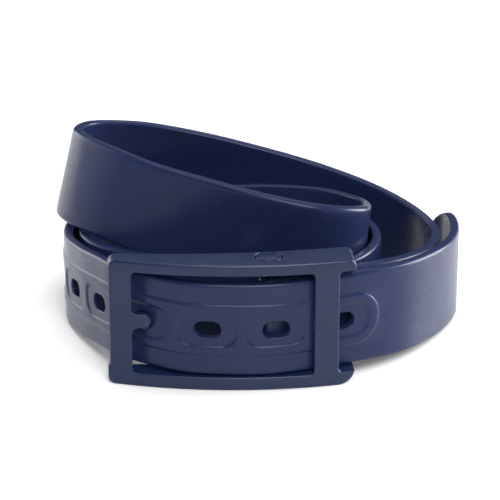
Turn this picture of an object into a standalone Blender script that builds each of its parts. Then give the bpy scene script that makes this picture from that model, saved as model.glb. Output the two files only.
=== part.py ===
"""Dive weight belt: a rubber strap wound in three turns, fastened in a moulded frame buckle.

The strap stands on its edge on the ground. Its root end is folded round the buckle's cross pin
and held by two binding posts. Its free end passes behind the buckle's prong bar, where a prong
sits in one of its holes, across the window and out behind the keeper bar.

Units are metres, with +Z up, +X along the buckle and -Y towards the wearer's front.
The origin is the bottom centre of the whole belt.
"""
import math

import bmesh
import bpy
from mathutils import Matrix, Vector

MM = 0.001

# Strap section, in millimetres like every size below.
STRAP_WIDTH = 50.0
STRAP_THICKNESS = 5.2
TONGUE_THICKNESS = 2.8
TIP_RADIUS = 20.0

# Holes for the prong: obround, counted from the free end.
HOLE_COUNT = 10
HOLE_PITCH = 34.6
FIRST_HOLE_FROM_TIP = 153.4
HOLE_LENGTH = 13.8
HOLE_HEIGHT = 8.9
HOLE_SECTIONS = (-7.5, -2.5, 2.5, 7.5)
HOLE_CUTTER_SHIFT = 0.3

# Buckle: the pin stands at PIN, and the buckle's own axes start there.
PIN = Vector((6.5, -74.4))
BUCKLE_YAW = math.radians(4.0)
BUCKLE_LEFT = -81.2
BUCKLE_RIGHT = 43.9
BUCKLE_HEIGHT = 68.2
WALL = 6.0
FRONT_ARC = ((BUCKLE_LEFT, 1.5), (-10.0, -12.5), (BUCKLE_RIGHT, -7.6))
BACK_ARC = ((BUCKLE_LEFT, 10.5), (-17.0, 6.9), (BUCKLE_RIGHT, 12.2))
CORNER_RADIUS = 4.5
WINDOW_LEFT = -69.6
WINDOW_RIGHT = 22.7
WINDOW_BOTTOM = 6.8
WINDOW_TOP = 62.0
WINDOW_CORNER = 2.5
KEEPER_RIGHT = 35.4
BAR_THICKNESS = 3.7

# Prong: a short plate off the left bar, with a peg that enters the engaged hole.
PRONG_Z = 35.7
PRONG_HEIGHT = 7.4
PRONG_REACH = 9.7
PRONG_PLATE = 2.6
PEG_LEFT = -65.7
PEG_RIGHT = -60.8
PEG_END = 9.4
PEG_Z = 34.5
PEG_HEIGHT = 6.6

# Cross pin, its flush head and the cap on its lower end.
PIN_RADIUS = 2.0
PIN_HEAD_RADIUS = 6.6
PIN_HEAD_THICKNESS = 2.4
CAP_RADIUS = 5.0
CAP_THICKNESS = 2.6
FIT = 0.3

# Fold round the pin, in the fold's own axes: u runs along the strap, v towards its inner side.
FOLD_HEADING = math.radians(20.0)
FOLD_RADIUS = PIN_RADIUS + FIT + 0.2
STRAP_Z = 32.1
LEG_LENGTH = 33.0
FLAP_LENGTH = 31.5
FLAP_OFFSET = -1.8
FLAP_MEETS_LEG = 10.0

# Binding posts and their screws.
POST_U = 21.0
POST_SPACING = 26.0
POST_HEAD_RADIUS = 4.5
POST_BARREL_RADIUS = 2.1
SCREW_HEAD_RADIUS = 4.0
SCREW_SHANK_RADIUS = 1.2

# Route of the strap's middle line after the fold: x, y, height of the middle, lean in degrees.
# A positive lean tips the upper edge towards the inside of the coil.
COIL = (
    # first turn: inner layer at the front right, then up across the back
    (52, -57, 32.1, -2), (73, -42, 30.2, -3), (87, -25, 28, -3), (94, -7, 26.4, -2),
    (98, 14, 26, 0), (91, 37, 28, 2), (72, 58, 33.5, 5), (42, 73, 41.5, 8), (5, 80, 51, 10),
    (-35, 81, 61, 12), (-70, 74, 69, 12), (-96, 59, 73.5, 12), (-103, 39, 75.5, 13),
    (-97, 21, 76.3, 13.5),
    # upper turn comes down across the front and turns back at the right
    (-81, 5, 74.8, 12), (-58, -9, 70.4, 8), (-29, -19, 65.5, 3), (2, -27, 60.3, -3),
    (32, -28, 54.5, -6), (52, -16, 48.5, -6), (58, 4, 43, -3), (56, 24, 39.5, 0),
    (38, 45, 37.5, 0), (-11, 57, 35.5, 0), (-65, 50, 29.5, 0),
    # innermost turn at the left, then the second turn on the ground
    (-88, 35, 26.4, 0), (-94, 15, 25.2, 0), (-87, -5, 25, 0), (-66, -20, 25, 0),
    (-40, -31, 25, 0), (-12, -38, 25, 0), (24, -41, 25, 0), (50, -31, 25, 0),
    (62, -12, 25, 0), (66, 9, 25, 0), (61, 32, 25, 0), (38, 56, 25, 0), (6, 67, 25, 0),
    (-30, 69, 25, 0), (-63, 64, 25, 0), (-88, 51, 25, 0), (-101, 30, 25, 0),
    # free end: round the lower left, through the buckle and along the front right
    (-101, 4, 25.6, 0), (-92, -22, 28.5, 0), (-80, -46, 32, 0), (-69, -64, 34, 0),
    (-53, -75, 33.9, 0), (-35, -81.5, 32.6, 0), (-16.5, -83.4, 32.3, 0),
    (6.5, -82.8, 32.1, 0), (28.5, -76.4, 32.1, 0), (52, -67.2, 32.3, 0), (76, -50.6, 30.8, 0),
    (90, -33, 29.2, -1), (102, -11, 27.6, -1), (109, 15, 26, 0), (108, 38, 26, 0),
    (100, 52, 26, 0),
)


# ---------------------------------------------------------------- route of the strap

def catmull_rom(points, step):
    """Samples of a centripetal Catmull-Rom curve through points, about step apart."""
    points = [Vector(p) for p in points]
    points = [2 * points[0] - points[1]] + points + [2 * points[-1] - points[-2]]
    samples = []
    for p0, p1, p2, p3 in zip(points, points[1:], points[2:], points[3:]):
        k0 = 0.0
        k1 = k0 + math.sqrt((p1 - p0).length)
        k2 = k1 + math.sqrt((p2 - p1).length)
        k3 = k2 + math.sqrt((p3 - p2).length)
        count = max(1, round((p2 - p1).length / step))
        for i in range(count):
            k = k1 + (k2 - k1) * i / count
            a1 = p0.lerp(p1, (k - k0) / (k1 - k0))
            a2 = p1.lerp(p2, (k - k1) / (k2 - k1))
            a3 = p2.lerp(p3, (k - k2) / (k3 - k2))
            b1 = a1.lerp(a2, (k - k0) / (k2 - k0))
            b2 = a2.lerp(a3, (k - k1) / (k3 - k1))
            samples.append(b1.lerp(b2, (k - k1) / (k2 - k1)))
    samples.append(points[-2])
    return samples


def fold_point(u, v):
    """World point of the fold's u, v axes, at the strap's mid height, with no lean."""
    along = Vector((math.cos(FOLD_HEADING), math.sin(FOLD_HEADING)))
    across = Vector((-along.y, along.x))
    spot = PIN + u * along + v * across
    return Vector((spot.x, spot.y, STRAP_Z, 0.0))


def strap_route():
    """Middle line of the strap from the flap's end, round the pin and coil, to the tip."""
    reach = math.hypot(FLAP_MEETS_LEG, FLAP_OFFSET)
    leave = math.atan2(FLAP_OFFSET, FLAP_MEETS_LEG) + math.acos(FOLD_RADIUS / reach)
    turns = 12
    flap = [fold_point(FLAP_LENGTH, FLAP_OFFSET), fold_point(POST_U, FLAP_OFFSET)]
    flap += [fold_point(FLAP_MEETS_LEG + 4, FLAP_OFFSET), fold_point(FLAP_MEETS_LEG, FLAP_OFFSET + 0.3)]
    route = catmull_rom(flap, 1.0)
    for i in range(turns + 1):
        angle = leave + (1.5 * math.pi - leave) * i / turns
        route.append(fold_point(FOLD_RADIUS * math.cos(angle), FOLD_RADIUS * math.sin(angle)))
    leg = [fold_point(u, -FOLD_RADIUS) for u in (2.0, 10.0, 20.0, LEG_LENGTH)]
    route += catmull_rom(leg + list(COIL), 1.0)
    return route


ROUTE = strap_route()
LENGTHS = [0.0]
for here, there in zip(ROUTE, ROUTE[1:]):
    LENGTHS.append(LENGTHS[-1] + (there - here).to_3d().length)
STRAP_LENGTH = LENGTHS[-1]


def length_at(point):
    """Distance along the strap of the route's sample nearest to point."""
    nearest = min(range(len(ROUTE)), key=lambda i: (ROUTE[i] - point).length)
    return LENGTHS[nearest]


def frame_at(distance):
    """Middle point, direction, inward normal and upward edge direction of the strap there."""
    last = len(ROUTE) - 2
    i = min(last, max(0, next((k for k, s in enumerate(LENGTHS) if s > distance), last + 1) - 1))
    t = (distance - LENGTHS[i]) / (LENGTHS[i + 1] - LENGTHS[i])
    spot = ROUTE[i].lerp(ROUTE[i + 1], t)
    before, after = ROUTE[max(0, i - 1)], ROUTE[min(last + 1, i + 2)]
    along = (after - before).to_3d().normalized()
    side = Vector((0, 0, 1)).cross(along).normalized()
    up = along.cross(side)
    lean = math.radians(spot[3])
    inward = math.cos(lean) * side - math.sin(lean) * up
    edge = math.cos(lean) * up + math.sin(lean) * side
    return spot.to_3d(), along, inward, edge


def hole_distances():
    first = STRAP_LENGTH - FIRST_HOLE_FROM_TIP
    return [first - i * HOLE_PITCH for i in range(HOLE_COUNT)]


def stations():
    """Distances along the strap where it needs a section: at bends, holes, the step and the tip."""
    step_at = length_at(fold_point(LEG_LENGTH, -FOLD_RADIUS))
    places = [0.0]
    heading = frame_at(0.0)[1]
    for distance in LENGTHS[1:-1]:
        along = frame_at(distance)[1]
        turned = math.degrees(along.angle(heading))
        fold = distance < step_at - LEG_LENGTH
        if turned > (18 if fold else 8) or distance - places[-1] > 15:
            places.append(distance)
            heading = along
    round_from = STRAP_LENGTH - TIP_RADIUS
    places = [p for p in places if p < round_from - 3 and abs(p - step_at) > 3]
    places += [step_at, step_at + 0.4]
    for hole in hole_distances():
        places = [p for p in places if abs(p - hole) > 9]
        places += [hole + offset for offset in HOLE_SECTIONS]
    places += [round_from + TIP_RADIUS * math.sin(math.radians(a)) for a in range(0, 91, 15)]
    return sorted(places), step_at


# ---------------------------------------------------------------- helpers

def new_collection(name):
    collection = bpy.data.collections.new(name)
    bpy.context.scene.collection.children.link(collection)
    return collection


def material(name, colour, roughness, metallic=0.0):
    made = bpy.data.materials.new(name)
    made.use_nodes = True
    shader = made.node_tree.nodes["Principled BSDF"]
    shader.inputs["Base Color"].default_value = (*colour, 1.0)
    shader.inputs["Roughness"].default_value = roughness
    shader.inputs["Metallic"].default_value = metallic
    return made


def add_object(name, mesh, collection, finish=None):
    made = bpy.data.objects.new(name, mesh)
    collection.objects.link(made)
    if finish is not None:
        mesh.materials.clear()
        mesh.materials.append(finish)
    return made


def outline_prism(name, outline, depth, collection):
    """Flat closed outline in the local XY plane, filled and extruded both ways along Z."""
    curve = bpy.data.curves.new(name, "CURVE")
    curve.dimensions = "2D"
    curve.fill_mode = "BOTH"
    curve.extrude = depth / 2 * MM
    spline = curve.splines.new("POLY")
    spline.points.add(len(outline) - 1)
    for point, (x, y) in zip(spline.points, outline):
        point.co = (x * MM, y * MM, 0.0, 1.0)
    spline.use_cyclic_u = True
    drawn = bpy.data.objects.new(name + "_outline", curve)
    bpy.context.scene.collection.objects.link(drawn)
    bpy.context.view_layer.update()
    mesh = bpy.data.meshes.new_from_object(drawn.evaluated_get(bpy.context.evaluated_depsgraph_get()))
    bpy.data.objects.remove(drawn)
    weld(mesh)
    return add_object(name, mesh, collection)


def weld(mesh):
    shape = bmesh.new()
    shape.from_mesh(mesh)
    bmesh.ops.remove_doubles(shape, verts=shape.verts, dist=1e-6)
    bmesh.ops.recalc_face_normals(shape, faces=shape.faces)
    shape.to_mesh(mesh)
    shape.free()


def cylinder(name, radius, depth, collection, sides=32):
    """Closed cylinder along local Z, centred on its origin."""
    shape = bmesh.new()
    bmesh.ops.create_cone(shape, cap_ends=True, segments=sides, radius1=radius * MM,
                          radius2=radius * MM, depth=depth * MM)
    mesh = bpy.data.meshes.new(name)
    shape.to_mesh(mesh)
    shape.free()
    return add_object(name, mesh, collection)


def turned(name, profile, collection, finish, sides=32):
    """Solid of revolution about local Z from an outer profile, listed top to bottom."""
    shape = bmesh.new()
    verts = [shape.verts.new((r * MM, 0.0, z * MM)) for r, z in profile]
    for lower, upper in zip(verts, verts[1:]):
        shape.edges.new((lower, upper))
    mesh = bpy.data.meshes.new(name)
    shape.to_mesh(mesh)
    shape.free()
    made = add_object(name, mesh, collection, finish)
    screw = made.modifiers.new("turn", "SCREW")
    screw.steps = sides
    screw.render_steps = sides
    screw.use_merge_vertices = True
    screw.merge_threshold = 1e-6
    screw.use_smooth_shade = True
    return made


def cut(target, cutter, operation="DIFFERENCE"):
    cutter.hide_render = True
    cutter.display_type = "WIRE"
    boolean = target.modifiers.new(cutter.name, "BOOLEAN")
    boolean.operation = operation
    boolean.solver = "EXACT"
    boolean.object = cutter


def arc_through(first, middle, last, count):
    """Points on the circle through three plan points, from first to last."""
    (ax, ay), (bx, by), (cx, cy) = first, middle, last
    d = 2 * (ax * (by - cy) + bx * (cy - ay) + cx * (ay - by))
    a2, b2, c2 = ax * ax + ay * ay, bx * bx + by * by, cx * cx + cy * cy
    ux = (a2 * (by - cy) + b2 * (cy - ay) + c2 * (ay - by)) / d
    uy = (a2 * (cx - bx) + b2 * (ax - cx) + c2 * (bx - ax)) / d
    radius = math.hypot(ax - ux, ay - uy)
    start, end = math.atan2(ay - uy, ax - ux), math.atan2(cy - uy, cx - ux)
    points = []
    for i in range(count + 1):
        angle = start + (end - start) * i / count
        points.append((ux + radius * math.cos(angle), uy + radius * math.sin(angle)))
    return points


def rounded_rectangle(left, bottom, right, top, radius, turns=5):
    outline = []
    corners = ((right - radius, top - radius, 0), (left + radius, top - radius, 90),
               (left + radius, bottom + radius, 180), (right - radius, bottom + radius, 270))
    for x, y, start in corners:
        for i in range(turns + 1):
            angle = math.radians(start + 90 * i / turns)
            outline.append((x + radius * math.cos(angle), y + radius * math.sin(angle)))
    return outline


# ---------------------------------------------------------------- strap

def strap_mesh():
    """Loft of rectangular sections: thin folded tongue, full strap, rounded tip."""
    half = STRAP_THICKNESS / 2
    shape = bmesh.new()
    rings = []
    places, step_at = stations()
    for distance in places:
        middle, _, inward, edge = frame_at(distance)
        inner = half if distance > step_at + 0.1 else TONGUE_THICKNESS - half
        past = max(0.0, distance - (STRAP_LENGTH - TIP_RADIUS))
        drop = TIP_RADIUS - math.sqrt(max(0.0, TIP_RADIUS ** 2 - past ** 2))
        rise = STRAP_WIDTH / 2 - drop
        corners = ((-half, -rise), (inner, -rise), (inner, rise), (-half, rise))
        rings.append([shape.verts.new((middle + a * inward + b * edge) * MM) for a, b in corners])
    for ring, following in zip(rings, rings[1:]):
        for i in range(4):
            j = (i + 1) % 4
            shape.faces.new((ring[i], ring[j], following[j], following[i]))
    shape.faces.new(rings[0])
    shape.faces.new(reversed(rings[-1]))
    bmesh.ops.recalc_face_normals(shape, faces=shape.faces)
    mesh = bpy.data.meshes.new("strap")
    shape.to_mesh(mesh)
    shape.free()
    mesh.shade_smooth()
    mesh.set_sharp_from_angle(angle=math.radians(30))
    return mesh


def strap_frame_matrix(distance):
    """Local X along the strap, Y up its width and Z out of its outer face."""
    middle, along, inward, edge = frame_at(distance)
    axes = Matrix((along, edge, -inward)).transposed().to_4x4()
    return Matrix.Translation(middle * MM) @ axes


def fold_matrix(u, v, z):
    """Local Z along the fold's v axis, at u, v and height z."""
    spot = fold_point(u, v)
    turn = Matrix.Rotation(FOLD_HEADING, 4, "Z") @ Matrix.Rotation(math.radians(-90), 4, "X")
    return Matrix.Translation(Vector((spot.x, spot.y, z)) * MM) @ turn


def post_heights():
    return {"upper": STRAP_Z + POST_SPACING / 2, "lower": STRAP_Z - POST_SPACING / 2}


def make_strap(parts, cutters, finish):
    strap = add_object("strap", strap_mesh(), parts, finish)
    end = HOLE_HEIGHT / 2
    shift = Matrix.Translation((0.0, 0.0, HOLE_CUTTER_SHIFT * MM))
    slot = rounded_rectangle(-HOLE_LENGTH / 2, -end, HOLE_LENGTH / 2, end, end - 0.01, turns=6)
    for number, distance in enumerate(hole_distances(), start=1):
        cutter = outline_prism(f"hole_cutter_{number}", slot, STRAP_THICKNESS + 2, cutters)
        cutter.matrix_world = strap_frame_matrix(distance) @ shift
        cut(strap, cutter)
    front = -FOLD_RADIUS - STRAP_THICKNESS / 2
    back = FLAP_OFFSET + STRAP_THICKNESS / 2
    for name, z in post_heights().items():
        for label, radius, low, high in (
                ("through", POST_BARREL_RADIUS + FIT, front - 2, back + 2),
                ("head", POST_HEAD_RADIUS + FIT, front - 2, front + 1.5),
                ("screw", SCREW_HEAD_RADIUS + FIT, back - 1.5, back + 2)):
            cutter = cylinder(f"{label}_cutter_{name}", radius, high - low, cutters, sides=24)
            cutter.matrix_world = fold_matrix(POST_U, (low + high) / 2, z)
            cut(strap, cutter)
    return strap


def make_posts(parts, finish):
    """Binding posts: a post from the outer side and a screw into it from the inner side."""
    front = -FOLD_RADIUS - STRAP_THICKNESS / 2
    back = FLAP_OFFSET + STRAP_THICKNESS / 2
    head_top = front + 0.3
    barrel_end = back - 1.5 - FIT
    bore_end = head_top + 1.6
    screw_top = back - 0.2
    screw_seat = screw_top - 1.0
    post_profile = ((0, bore_end), (SCREW_SHANK_RADIUS + FIT, bore_end),
                    (SCREW_SHANK_RADIUS + FIT, barrel_end), (POST_BARREL_RADIUS, barrel_end),
                    (POST_BARREL_RADIUS, head_top + 1.0), (POST_HEAD_RADIUS, head_top + 1.0),
                    (POST_HEAD_RADIUS, head_top + 0.3), (POST_HEAD_RADIUS - 0.6, head_top),
                    (0, head_top))
    screw_profile = ((0, screw_top), (SCREW_HEAD_RADIUS - 0.6, screw_top),
                     (SCREW_HEAD_RADIUS, screw_top - 0.3), (SCREW_HEAD_RADIUS, screw_seat),
                     (SCREW_SHANK_RADIUS, screw_seat), (SCREW_SHANK_RADIUS, bore_end + FIT),
                     (0, bore_end + FIT))
    for name, z in post_heights().items():
        post = turned(f"binding_post_{name}", post_profile, parts, finish, sides=24)
        post.matrix_world = fold_matrix(POST_U, 0.0, z)
        screw = turned(f"binding_screw_{name}", screw_profile, parts, finish, sides=24)
        screw.matrix_world = fold_matrix(POST_U, 0.0, z)


# ---------------------------------------------------------------- buckle

def buckle_prism(name, outline, low, high, collection, pivot):
    """Plan outline between two heights, in the buckle's axes."""
    made = outline_prism(name, outline, high - low, collection)
    made.parent = pivot
    made.location = (0.0, 0.0, (low + high) / 2 * MM)
    return made


def front_prism(name, outline, near, far, collection, pivot):
    """Outline seen from the front (x, z) between two depths, in the buckle's axes."""
    made = outline_prism(name, outline, far - near, collection)
    made.parent = pivot
    made.rotation_euler = (math.radians(90), 0.0, 0.0)
    made.location = (0.0, (near + far) / 2 * MM, 0.0)
    return made


def make_prong(collection, pivot):
    """Plate with a round end and flared root, and the peg behind it."""
    half = PRONG_HEIGHT / 2
    root = WINDOW_LEFT - 2.0
    end = WINDOW_LEFT + PRONG_REACH - half
    flare = 2.4
    outline = [(root, PRONG_Z - half - flare), (WINDOW_LEFT, PRONG_Z - half - flare)]
    for i in range(1, 6):
        angle = math.radians(180 - 18 * i)
        outline.append((WINDOW_LEFT + flare + flare * math.cos(angle),
                        PRONG_Z - half - flare + flare * math.sin(angle)))
    for i in range(9):
        angle = math.radians(-90 + 22.5 * i)
        outline.append((end + half * math.cos(angle), PRONG_Z + half * math.sin(angle)))
    outline += [(x, 2 * PRONG_Z - z) for x, z in reversed(outline[:7])]
    front_at = -3.4
    plate = front_prism("prong", outline, front_at, front_at + PRONG_PLATE, collection, pivot)
    peg_half = PEG_HEIGHT / 2
    peg_outline = rounded_rectangle(PEG_LEFT, PEG_Z - peg_half, PEG_RIGHT, PEG_Z + peg_half, 2.0)
    peg = front_prism("prong_peg", peg_outline, front_at + 1.0, PEG_END, collection, pivot)
    return plate, peg


def make_buckle(parts, cutters, pivot, finish):
    front = arc_through(*FRONT_ARC, 24)
    back = arc_through(*BACK_ARC, 16)
    frame = buckle_prism("buckle_frame", front + back[::-1], 0.0, BUCKLE_HEIGHT, parts, pivot)
    frame.data.materials.clear()
    frame.data.materials.append(finish)

    face = rounded_rectangle(BUCKLE_LEFT, 0.0, BUCKLE_RIGHT, BUCKLE_HEIGHT, CORNER_RADIUS)
    cut(frame, front_prism("front_outline", face, -30, 30, cutters, pivot), "INTERSECT")

    inside = [(x, y + BAR_THICKNESS) for x, y in front]
    inside[0] = (BUCKLE_LEFT - 10, inside[0][1])
    inside[-1] = (BUCKLE_RIGHT + 10, inside[-1][1])
    inside += [(BUCKLE_RIGHT + 10, 30), (BUCKLE_LEFT - 10, 30)]
    cut(frame, buckle_prism("cavity", inside, WALL, BUCKLE_HEIGHT - WALL, cutters, pivot))

    window = rounded_rectangle(WINDOW_LEFT, WINDOW_BOTTOM, WINDOW_RIGHT, WINDOW_TOP, WINDOW_CORNER)
    cut(frame, front_prism("window", window, -30, 30, cutters, pivot))
    slot = rounded_rectangle(KEEPER_RIGHT, WINDOW_BOTTOM, BUCKLE_RIGHT + 15, WINDOW_TOP, 2.0)
    cut(frame, front_prism("keeper_mouth", slot, -30, 30, cutters, pivot))

    plate, peg = make_prong(cutters, pivot)
    cut(frame, plate, "UNION")
    cut(frame, peg, "UNION")

    top = BUCKLE_HEIGHT
    for label, radius, low, high in (
            ("pin_bore", PIN_RADIUS + FIT, -5, top + 5),
            ("pin_head_seat", PIN_HEAD_RADIUS + FIT, top - PIN_HEAD_THICKNESS - FIT, top + 5),
            ("pin_cap_seat", CAP_RADIUS + FIT, -5, CAP_THICKNESS + 2 * FIT)):
        cutter = cylinder(label, radius, high - low, cutters)
        cutter.parent = pivot
        cutter.location = (0.0, 0.0, (low + high) / 2 * MM)
        cut(frame, cutter)
    return frame


def make_pin(parts, pivot, finish):
    head = BUCKLE_HEIGHT - 0.1
    seat = head - PIN_HEAD_THICKNESS + 0.1
    foot = 0.9
    pin = turned("cross_pin", (
        (0, head), (PIN_HEAD_RADIUS - 0.5, head), (PIN_HEAD_RADIUS, head - 0.5),
        (PIN_HEAD_RADIUS, seat), (PIN_RADIUS, seat), (PIN_RADIUS, foot + 0.4),
        (PIN_RADIUS - 0.4, foot), (0, foot)), parts, finish)
    pin.parent = pivot
    return pin


def make_cap(parts, pivot, finish):
    low, high = 0.3, CAP_THICKNESS + 0.3
    bore = PIN_RADIUS + FIT
    cap = turned("pin_cap", (
        (0, low + 0.3), (bore, low + 0.3), (bore, high), (CAP_RADIUS, high),
        (CAP_RADIUS, low + 0.5), (CAP_RADIUS - 0.5, low), (0, low)), parts, finish)
    cap.parent = pivot
    return cap


# ---------------------------------------------------------------- assembly

def main():
    for old in list(bpy.data.objects):
        bpy.data.objects.remove(old)
    parts = new_collection("dive_weight_belt")
    cutters = new_collection("cutters")

    rubber = material("strap_rubber", (0.020, 0.026, 0.085), 0.45)
    plastic = material("buckle_plastic", (0.022, 0.028, 0.080), 0.50)
    steel = material("post_steel", (0.55, 0.56, 0.58), 0.30, metallic=1.0)

    pivot = bpy.data.objects.new("buckle_pivot", None)
    parts.objects.link(pivot)
    pivot.location = (PIN.x * MM, PIN.y * MM, 0.0)
    pivot.rotation_euler = (0.0, 0.0, BUCKLE_YAW)

    make_strap(parts, cutters, rubber)
    make_posts(parts, steel)
    make_buckle(parts, cutters, pivot, plastic)
    make_pin(parts, pivot, plastic)
    make_cap(parts, pivot, plastic)
    bpy.context.view_layer.update()


main()
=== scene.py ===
"""Looks of the coiled, buckled rubber belt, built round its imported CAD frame.

The strap is laid out flat as (along, across, depth) and then wrapped along its route. The buckle
is cut flat as well and then bowed. Sizes are in millimetres until a mesh is written.
"""
import math

import bmesh
import bpy
import numpy as np
from mathutils import Matrix, Vector


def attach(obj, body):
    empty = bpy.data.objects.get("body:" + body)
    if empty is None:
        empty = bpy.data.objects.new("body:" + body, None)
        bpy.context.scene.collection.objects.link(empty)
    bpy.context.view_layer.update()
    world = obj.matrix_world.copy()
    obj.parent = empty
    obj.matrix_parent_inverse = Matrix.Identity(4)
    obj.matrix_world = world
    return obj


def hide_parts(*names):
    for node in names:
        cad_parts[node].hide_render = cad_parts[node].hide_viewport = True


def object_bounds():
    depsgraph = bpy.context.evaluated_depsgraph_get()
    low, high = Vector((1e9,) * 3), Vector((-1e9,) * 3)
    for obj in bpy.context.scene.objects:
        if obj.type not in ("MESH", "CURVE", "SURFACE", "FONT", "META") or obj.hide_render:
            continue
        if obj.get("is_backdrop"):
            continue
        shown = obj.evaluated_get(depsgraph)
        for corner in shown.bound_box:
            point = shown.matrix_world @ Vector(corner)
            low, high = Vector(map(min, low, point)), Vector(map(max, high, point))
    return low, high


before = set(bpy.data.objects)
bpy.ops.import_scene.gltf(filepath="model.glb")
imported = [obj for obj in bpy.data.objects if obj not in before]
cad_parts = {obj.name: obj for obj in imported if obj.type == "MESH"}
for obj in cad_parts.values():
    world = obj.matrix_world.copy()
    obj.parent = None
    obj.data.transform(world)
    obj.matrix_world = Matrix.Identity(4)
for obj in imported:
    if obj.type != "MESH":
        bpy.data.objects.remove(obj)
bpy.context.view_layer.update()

MM = 0.001

# Strap.
STRAP_WIDTH = 50.0
STRAP_THICKNESS = 5.2
TONGUE_THICKNESS = 2.8
TIP_RADIUS = 20.0
OUTER_ROUNDING = 1.9
INNER_ROUNDING = 1.1
HOLE_COUNT = 10
HOLE_PITCH = 34.6
FIRST_HOLE_FROM_TIP = 153.4
HOLE_LENGTH = 13.8
HOLE_HEIGHT = 8.9

# Raised band round the holes, and the sunk oval pocket round each hole. Depths run inward from
# the strap's outer face. BAND_BEVEL lists (distance past the band's edge, share of its height).
BAND_HEIGHT = 0.65
BAND_EDGE = 12.8
BAND_BEVEL = ((0.3, 0.92), (0.65, 0.64), (1.0, 0.32), (1.3, 0.08), (1.5, 0.0))
BAND_END = 20.2
BAND_END_CORNER = 11.8
FLANGE_START = 16.0
POCKET_LENGTH = 31.6
POCKET_HEIGHT = 19.4
POCKET_CORNER = 8.2
RIM_GAP = 0.15
POCKET_FLOOR = 0.10
# Pairs of (inset from the pocket's outline, share of the fall to its floor), then pairs of
# (offset from the hole's outline, depth) through the strap.
POCKET_WALL = ((-0.15, 0.0), (0.1, 0.06), (0.4, 0.24), (0.75, 0.52), (1.1, 0.80), (1.45, 0.95), (1.9, 1.0))
HOLE_WALL = ((2.6, 0.10), (1.1, 0.10), (0.62, 0.12), (0.36, 0.20), (0.14, 0.37), (0.02, 0.65), (0.0, 1.3),
             (0.0, 2.6), (0.0, 4.3), (0.05, 4.75), (0.2, 5.05), (0.45, STRAP_THICKNESS),
             (1.6, STRAP_THICKNESS))
END_REACH = 26.0
TILE_STEP = 1.5
PLAIN_STEP = 2.2

# Fold round the pin and the buckle's own axes, as in the CAD.
PIN = Vector((6.5, -74.4))
BUCKLE_YAW = math.radians(4.0)
STRAP_Z = 32.1
PIN_RADIUS = 2.0
FIT = 0.3
FOLD_HEADING = math.radians(20.0)
FOLD_RADIUS = PIN_RADIUS + FIT + 0.2
LEG_LENGTH = 33.0
FLAP_LENGTH = 31.5
FLAP_OFFSET = -1.8
FLAP_MEETS_LEG = 10.0
POST_U = 21.0
POST_SPACING = 26.0
POST_HOLE_RADIUS = 2.4
POST_HEAD_SEAT_RADIUS = 4.8
SCREW_HEAD_SEAT_RADIUS = 4.3
SEAT_DEPTH = 1.5
FLAP_STEP = 2.0
FOLD_STEP = 0.7

# Route of the strap's middle line after the fold: x, y, height of the middle, lean in degrees.
# The points began as a curve fit's control points, rounded, and were then partly moved.
COIL = (
    # first turn: inner layer at the front right, then up across the back
    (52, -57, 32.1, -2), (73, -42, 30.2, -3), (87, -25, 28, -3), (94, -7, 26.4, -2),
    (98, 14, 26, 0), (91, 37, 28, 2), (72, 58, 33.5, 5), (42, 73, 41.5, 8), (5, 80, 51, 10),
    (-35, 81, 61, 12), (-70, 74, 69, 12), (-96, 59, 73.5, 12), (-103, 39, 75.5, 13),
    (-97, 21, 76.3, 13.5),
    # upper turn comes down across the front and turns back at the right
    (-81, 5, 74.8, 12), (-58, -9, 70.4, 8), (-29, -19, 65.5, 3), (2, -27, 60.3, -3),
    (32, -28, 54.5, -6), (52, -16, 48.5, -6), (58, 4, 43, -3), (56, 24, 39.5, 0),
    (38, 45, 37.5, 0), (-11, 57, 35.5, 0), (-65, 50, 29.5, 0),
    # innermost turn at the left, then the second turn on the ground
    (-88, 35, 26.4, 0), (-94, 15, 25.2, 0), (-87, -5, 25, 0), (-66, -20, 25, 0),
    (-40, -31, 25, 0), (-12, -38, 25, 0), (24, -41, 25, 0), (50, -31, 25, 0),
    (62, -12, 25, 0), (66, 9, 25, 0), (61, 32, 25, 0), (38, 56, 25, 0), (6, 67, 25, 0),
    (-30, 69, 25, 0), (-63, 64, 25, 0), (-88, 51, 25, 0), (-101, 30, 25, 0),
    # free end: round the lower left, through the buckle and along the front right
    (-101, 4, 25.6, 0), (-92, -22, 28.5, 0), (-80, -46, 32, 0), (-69, -64, 34, 0),
    (-53, -75, 33.9, 0), (-35, -81.5, 32.6, 0), (-16.5, -83.4, 32.3, 0),
    (6.5, -82.8, 32.1, 0), (28.5, -76.4, 32.1, 0), (52, -67.2, 32.3, 0), (76, -50.6, 30.8, 0),
    (90, -33, 29.2, -1), (102, -11, 27.6, -1), (109, 15, 26, 0), (108, 38, 26, 0),
    (100, 52, 26, 0),
)


# ---------------------------------------------------------------- route of the strap

def catmull_rom(points, step):
    """Samples of a centripetal Catmull-Rom curve through points, about step apart."""
    points = [Vector(p) for p in points]
    points = [2 * points[0] - points[1]] + points + [2 * points[-1] - points[-2]]
    samples = []
    for p0, p1, p2, p3 in zip(points, points[1:], points[2:], points[3:]):
        k0 = 0.0
        k1 = k0 + math.sqrt((p1 - p0).length)
        k2 = k1 + math.sqrt((p2 - p1).length)
        k3 = k2 + math.sqrt((p3 - p2).length)
        count = max(1, round((p2 - p1).length / step))
        for i in range(count):
            k = k1 + (k2 - k1) * i / count
            a1 = p0.lerp(p1, (k - k0) / (k1 - k0))
            a2 = p1.lerp(p2, (k - k1) / (k2 - k1))
            a3 = p2.lerp(p3, (k - k2) / (k3 - k2))
            b1 = a1.lerp(a2, (k - k0) / (k2 - k0))
            b2 = a2.lerp(a3, (k - k1) / (k3 - k1))
            samples.append(b1.lerp(b2, (k - k1) / (k2 - k1)))
    samples.append(points[-2])
    return samples


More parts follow.
